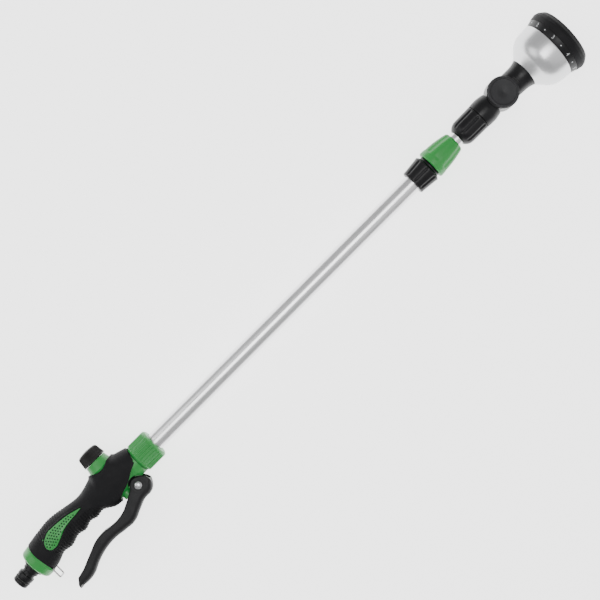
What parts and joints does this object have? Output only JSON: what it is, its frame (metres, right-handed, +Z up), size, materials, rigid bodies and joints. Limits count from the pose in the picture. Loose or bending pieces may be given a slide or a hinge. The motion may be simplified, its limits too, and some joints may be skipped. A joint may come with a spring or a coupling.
{
  "type": "watering wand",
  "caption": "Telescopic garden watering wand lying on its side: soft-grip handle with squeeze lever and flow knob, sliding aluminium tube and tilting rose head with a turning pattern ring.",
  "frame": {"origin": "centre of the hose connector's latch flange", "axes": "+X along the tube from the hose end to the spray head, +Y towards the flow knob and away from the lever, +Z up as the wand lies on its side"},
  "size_m": [0.7735, 0.0942, 0.0704],
  "materials": {
    "green_plastic": "glossy moulded, fine grain",
    "soft_black": "matte thermoplastic rubber",
    "hard_black": "satin moulded",
    "knob_black": "satin, fluted",
    "lever_black": "fine grain",
    "cap_grey": "satin",
    "ring_black": "satin",
    "face_grey": "fine grain",
    "face_dark": "fine grain",
    "seal_rubber": "plain",
    "steel_pin": "bright",
    "spring_steel": "bright wire",
    "satin_aluminium": "satin anodised",
    "satin_silver": "satin silver coating",
    "white_nylon": "natural",
    "brass_ring": "plain",
    "chrome_screw": "polished"
  },
  "bodies": {
    "handle": {"hose_connector": "hard_black", "connector_o_ring": "seal_rubber", "connector_washer": "seal_rubber", "handle_core": "green_plastic", "grip_overmould": "soft_black", "valve_seat": "seal_rubber", "gland_nut": "green_plastic", "gland_o_ring": "seal_rubber", "spindle_bush": "green_plastic", "lever_pin": "steel_pin", "coupling_nut": "green_plastic", "coupling_seal": "seal_rubber", "tube_flange": "brass_ring", "outer_tube": "satin_aluminium", "tube_collar": "hard_black", "lock_collet": "white_nylon", "lock_o_ring": "seal_rubber"},
    "flow_knob": {"flow_spindle": "white_nylon", "spindle_o_ring": "seal_rubber", "knob_cap": "knob_black"},
    "stem": {"valve_stem": "steel_pin", "valve_spring": "spring_steel"},
    "lever": {"lever": "lever_black"},
    "bail": {"lock_bail": "spring_steel"},
    "clamp": {"clamp_nut": "green_plastic"},
    "inner": {"inner_tube": "satin_aluminium", "piston_guide": "white_nylon", "piston_o_ring": "seal_rubber", "slide_flange": "brass_ring", "union_seal": "seal_rubber", "union_nut": "hard_black", "joint_lower": "hard_black", "joint_o_ring": "seal_rubber", "pivot_bolt": "steel_pin", "pivot_cap_back": "cap_grey"},
    "head": {"joint_upper": "hard_black", "pivot_cap_front": "cap_grey", "bell_shell": "satin_silver", "neck_gasket": "seal_rubber", "neck_lock_ring": "white_nylon", "flow_plate": "white_nylon", "outlet_seal": "seal_rubber", "detent_ball": "steel_pin", "centre_screw": "chrome_screw"},
    "selector": {"selector_ring": "ring_black", "bumper_ring": "soft_black", "face_ring": "face_grey", "pattern_disc": "face_grey", "nozzle_inserts": "face_dark"}
  },
  "joints": [
    {"name": "knob_turn", "type": "hinge", "parent": "handle", "child": "flow_knob", "pos_m": [0.13, 0, 0], "axis": [0, 1, 0], "range_deg": [0, 90]},
    {"name": "lever_squeeze", "type": "hinge", "parent": "handle", "child": "lever", "pos_m": [0.1445, -0.0153, 0], "axis": [0, 0, -1], "range_deg": [0, 11.5], "stiffness_Nm_per_rad": 1.2, "springref_deg": -6.88},
    {"name": "stem_lift", "type": "slide", "parent": "handle", "child": "stem", "axis": [0, 1, 0], "range_m": [0, 0.00305], "deforming": ["valve_spring"]},
    {"name": "bail_swing", "type": "hinge", "parent": "handle", "child": "bail", "pos_m": [0.026, -0.0134, 0], "axis": [0, 0, -1], "range_deg": [-18, 55]},
    {"name": "clamp_twist", "type": "hinge", "parent": "handle", "child": "clamp", "pos_m": [0.5755, 0.0032, 0], "axis": [1, 0, 0], "range_deg": [0, 90]},
    {"name": "tube_slide", "type": "slide", "parent": "handle", "child": "inner", "axis": [1, 0, 0], "range_m": [0, 0.3]},
    {"name": "head_tilt", "type": "hinge", "parent": "inner", "child": "head", "pos_m": [0.6765, 0.0032, 0], "axis": [0, 0, 1], "range_deg": [-88, 90]},
    {"name": "ring_turn", "type": "hinge", "parent": "head", "child": "selector", "pos_m": [0.74646, 0.00076, 0], "axis": [0.9994, -0.0349, 0], "continuous": true}
  ],
  "couplings": [
    {"joint": "stem_lift", "follows": "lever_squeeze", "m_per_rad": 0.0145}
  ]
}
